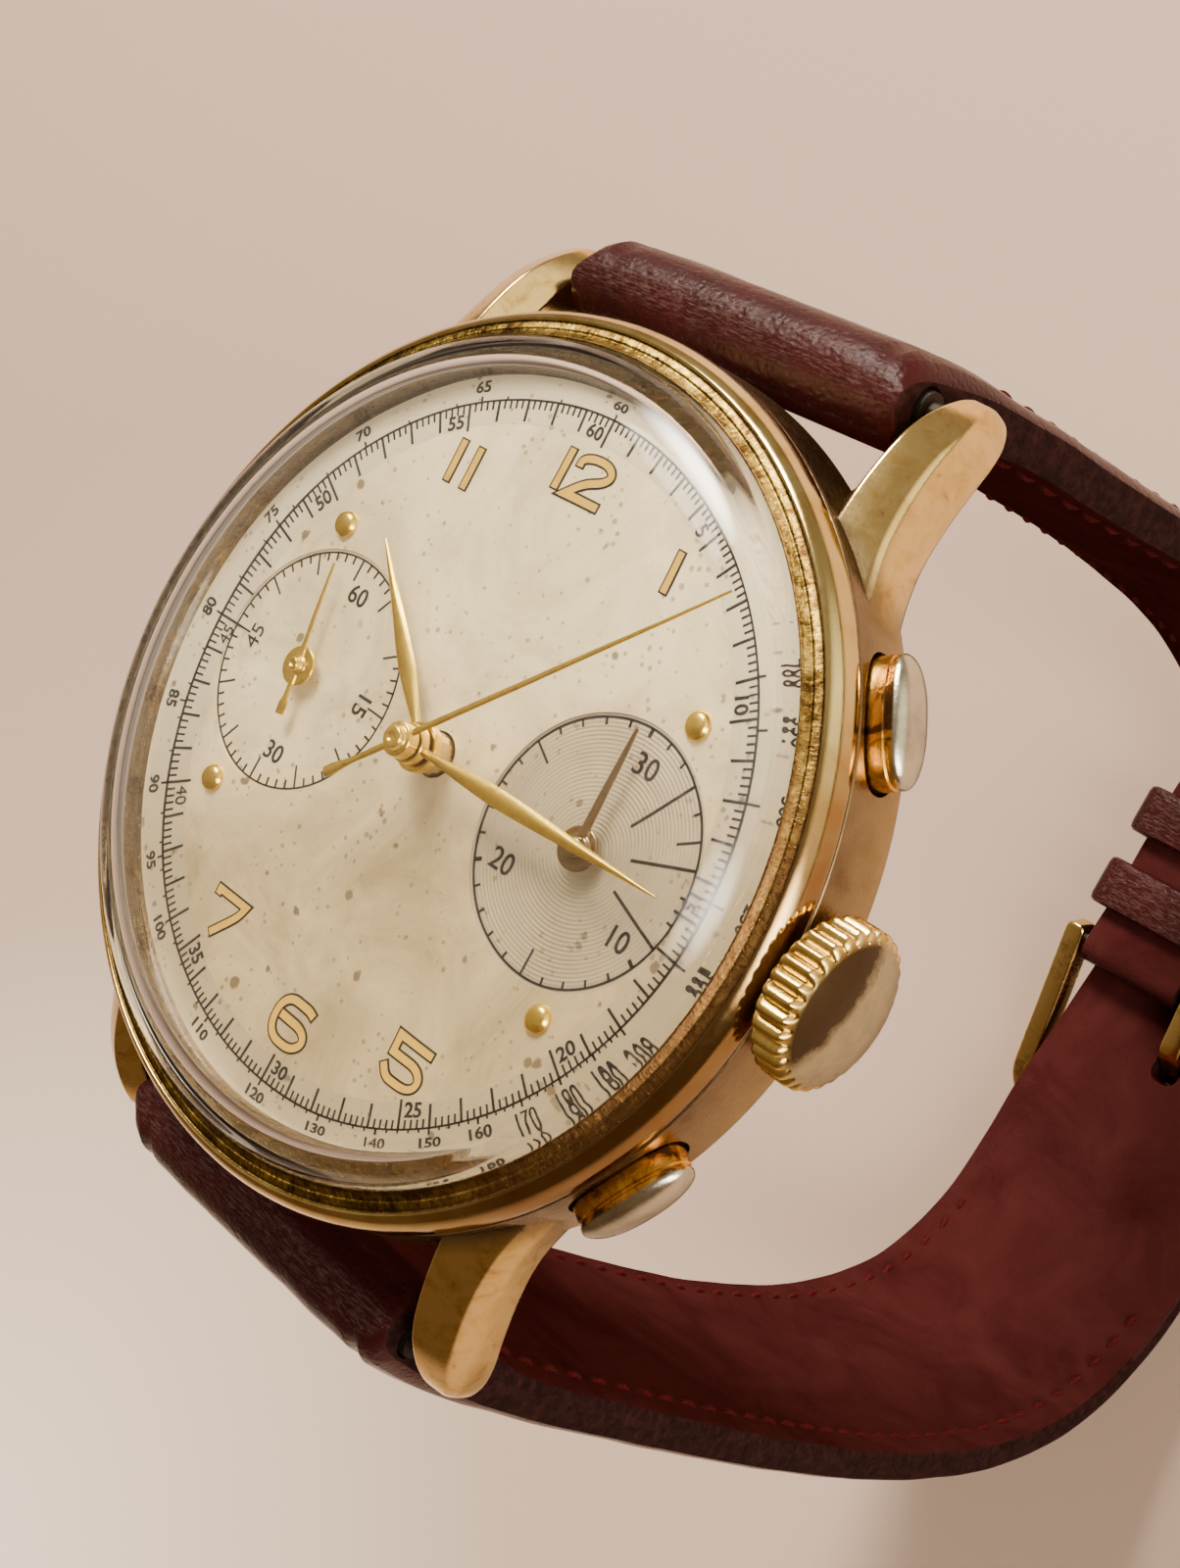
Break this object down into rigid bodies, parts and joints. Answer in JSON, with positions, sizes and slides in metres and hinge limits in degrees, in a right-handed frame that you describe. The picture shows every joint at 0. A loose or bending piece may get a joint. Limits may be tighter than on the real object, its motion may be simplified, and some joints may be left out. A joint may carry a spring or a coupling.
{
  "type": "chronograph wristwatch",
  "caption": "Round mechanical chronograph wristwatch with a crown, sprung pushers, turning hands and a closed leather strap on a tongue buckle.",
  "frame": {"origin": "middle of the bounding box at its lowest face, where the strap loop stands on its keepers and buckle bar", "axes": "+Z out of the dial, +Y to 12 on the dial, +X to the crown"},
  "size_m": [0.0388, 0.0534, 0.0778],
  "materials": {
    "case_gold": "satin rose-gold plate with worn edges",
    "bezel_gold": "polished yellow-gold plate with a pitted inner ring",
    "crystal": "clear domed acrylic",
    "dial_silver": "aged silvered satin",
    "gilt": "polished gilt",
    "counter_hand": "tarnished gilt",
    "crown_gold": "fluted gold plate, worn pale on the dome",
    "pusher_gold": "gold plate worn silvery on the pressed face",
    "nickel": "grained nickel plate",
    "wheel_brass": "gilt brass",
    "steel": "polished steel",
    "leather": "glazed oxblood calf, grain scuffed pale",
    "buckle_gold": "polished yellow-gold plate"
  },
  "bodies": {
    "case": {"case_middle": "case_gold", "bezel": "bezel_gold", "crystal": "crystal", "case_back": "case_gold", "movement_ring": "nickel", "crown_tube": "steel", "upper_pusher_tube": "steel", "lower_pusher_tube": "steel", "dial": "dial_silver", "dial_dot_2": "gilt", "dial_dot_4": "gilt", "dial_dot_8": "gilt", "dial_dot_10": "gilt", "main_plate": "nickel", "barrel_bridge": "nickel", "train_bridge": "nickel", "balance_cock": "nickel", "chronograph_bridge": "nickel", "strap_12": "leather", "strap_6": "leather", "spring_bar_12": "steel", "spring_bar_6": "steel", "fixed_keeper": "leather", "buckle_frame": "buckle_gold", "buckle_bar": "steel"},
    "hour_work": {"hour_hand": "gilt", "hour_wheel": "wheel_brass"},
    "minute_work": {"minute_hand": "gilt", "cannon_pinion": "steel"},
    "chronograph_work": {"chronograph_hand": "gilt", "chronograph_wheel": "wheel_brass"},
    "minute_counter": {"minute_counter_hand": "counter_hand", "minute_counting_wheel": "wheel_brass"},
    "running_seconds": {"running_seconds_hand": "gilt", "fourth_wheel": "wheel_brass"},
    "third_wheel": {"third_wheel": "wheel_brass"},
    "centre_wheel": {"centre_wheel": "wheel_brass"},
    "barrel": {"mainspring_barrel": "wheel_brass", "mainspring": "steel"},
    "ratchet_wheel": {"ratchet_wheel": "steel"},
    "crown_wheel": {"crown_wheel": "steel"},
    "escape_wheel": {"escape_wheel": "steel"},
    "coupling_wheel": {"coupling_wheel": "wheel_brass"},
    "pallet_fork": {"pallet_fork": "steel"},
    "balance": {"balance_wheel": "wheel_brass", "hairspring": "steel"},
    "column_wheel": {"column_wheel": "steel"},
    "click": {"click": "steel"},
    "stem": {"winding_stem": "steel"},
    "crown": {"crown": "crown_gold"},
    "upper_pusher": {"upper_pusher": "pusher_gold"},
    "lower_pusher": {"lower_pusher": "pusher_gold"},
    "operating_lever": {"operating_lever": "steel"},
    "reset_lever": {"reset_lever": "steel"},
    "sliding_keeper": {"sliding_keeper": "leather"},
    "buckle_tongue": {"buckle_tongue": "buckle_gold"}
  },
  "joints": [
    {"name": "minute_spin", "type": "hinge", "parent": "case", "child": "minute_work", "pos_m": [-0.0012, -0.0005, 0.07475], "axis": [0, 0, -1], "continuous": true},
    {"name": "hour_spin", "type": "hinge", "parent": "case", "child": "hour_work", "pos_m": [-0.0012, -0.0005, 0.07415], "axis": [0, 0, -1], "continuous": true},
    {"name": "chronograph_spin", "type": "hinge", "parent": "case", "child": "chronograph_work", "pos_m": [-0.0012, -0.0005, 0.07545], "axis": [0, 0, -1], "continuous": true},
    {"name": "minute_counter_spin", "type": "hinge", "parent": "case", "child": "minute_counter", "pos_m": [0.00722, -0.0005, 0.07385], "axis": [0, 0, -1], "continuous": true},
    {"name": "running_seconds_spin", "type": "hinge", "parent": "case", "child": "running_seconds", "pos_m": [-0.00962, -0.0005, 0.07385], "axis": [0, 0, -1], "continuous": true},
    {"name": "third_spin", "type": "hinge", "parent": "case", "child": "third_wheel", "pos_m": [-0.0056, -0.0032, 0.07015], "axis": [0, 0, -1], "continuous": true},
    {"name": "centre_spin", "type": "hinge", "parent": "case", "child": "centre_wheel", "pos_m": [-0.0012, -0.0005, 0.07075], "axis": [0, 0, -1], "continuous": true},
    {"name": "barrel_spin", "type": "hinge", "parent": "case", "child": "barrel", "pos_m": [0.0003, 0.0077, 0.07015], "axis": [0, 0, -1], "continuous": true},
    {"name": "escape_spin", "type": "hinge", "parent": "case", "child": "escape_wheel", "pos_m": [-0.0112, -0.0056, 0.07035], "axis": [0, 0, -1], "continuous": true},
    {"name": "coupling_spin", "type": "hinge", "parent": "case", "child": "coupling_wheel", "pos_m": [-0.0065, -0.0005, 0.06775], "axis": [0, 0, -1], "continuous": true},
    {"name": "pallet_swing", "type": "hinge", "parent": "case", "child": "pallet_fork", "pos_m": [-0.0086, -0.0081, 0.07035], "axis": [0, 0, 1], "range_deg": [-5, 5]},
    {"name": "balance_swing", "type": "hinge", "parent": "case", "child": "balance", "pos_m": [-0.004, -0.0095, 0.06965], "axis": [0, 0, 1], "range_deg": [-270, 270]},
    {"name": "column_wheel_spin", "type": "hinge", "parent": "case", "child": "column_wheel", "pos_m": [0.008, -0.0071, 0.06795], "axis": [0, 0, 1], "continuous": true},
    {"name": "click_pivot", "type": "hinge", "parent": "case", "child": "click", "pos_m": [-0.0068, 0.0091, 0.06825], "axis": [0, 0, 1], "range_deg": [0, 8]},
    {"name": "crown_pull", "type": "slide", "parent": "case", "child": "stem", "axis": [1, 0, 0], "range_m": [0, 0.001]},
    {"name": "crown_spin", "type": "hinge", "parent": "stem", "child": "crown", "pos_m": [0.0178, -0.0005, 0.07215], "axis": [1, 0, 0], "continuous": true},
    {"name": "crown_wheel_spin", "type": "hinge", "parent": "case", "child": "crown_wheel", "pos_m": [0.0067, 0.0053, 0.06825], "axis": [0, 0, 1], "continuous": true},
    {"name": "ratchet_spin", "type": "hinge", "parent": "case", "child": "ratchet_wheel", "pos_m": [0.0003, 0.0077, 0.06825], "axis": [0, 0, 1], "continuous": true},
    {"name": "upper_push", "type": "slide", "parent": "case", "child": "upper_pusher", "axis": [-0.866, -0.5, 0], "range_m": [0, 0.001], "stiffness_N_per_m": 800, "springref_m": -0.001},
    {"name": "lower_push", "type": "slide", "parent": "case", "child": "lower_pusher", "axis": [-0.866, 0.5, 0], "range_m": [0, 0.001], "stiffness_N_per_m": 800, "springref_m": -0.001},
    {"name": "operating_lever_pivot", "type": "hinge", "parent": "case", "child": "operating_lever", "pos_m": [0.00943, 0.00148, 0.07065], "axis": [0, 0, 1], "range_deg": [0, 12.7]},
    {"name": "reset_lever_pivot", "type": "hinge", "parent": "case", "child": "reset_lever", "pos_m": [0.00943, -0.00249, 0.07065], "axis": [0, 0, 1], "range_deg": [-12.7, 0]},
    {"name": "keeper_slide", "type": "slide", "parent": "case", "child": "sliding_keeper", "axis": [0, 1, 0], "range_m": [-0.0016, 0.001]},
    {"name": "tongue_pivot", "type": "hinge", "parent": "case", "child": "buckle_tongue", "pos_m": [0.00296, 0.0035, 0.0047], "axis": [1, 0, 0], "range_deg": [0, 4]}
  ],
  "couplings": [
    {"joint": "hour_spin", "follows": "minute_spin", "ratio": 0.083333},
    {"joint": "minute_counter_spin", "follows": "chronograph_spin", "ratio": 0.033333},
    {"joint": "third_spin", "follows": "running_seconds_spin", "ratio": -0.13333},
    {"joint": "centre_spin", "follows": "running_seconds_spin", "ratio": 0.016667},
    {"joint": "barrel_spin", "follows": "running_seconds_spin", "ratio": -0.002381},
    {"joint": "escape_spin", "follows": "running_seconds_spin", "ratio": -10},
    {"joint": "coupling_spin", "follows": "running_seconds_spin", "ratio": -0.875},
    {"joint": "crown_wheel_spin", "follows": "crown_spin", "ratio": 0.6},
    {"joint": "ratchet_spin", "follows": "crown_spin", "ratio": -0.38571},
    {"joint": "operating_lever_pivot", "follows": "upper_push", "rad_per_m": 220},
    {"joint": "reset_lever_pivot", "follows": "lower_push", "rad_per_m": -220}
  ]
}
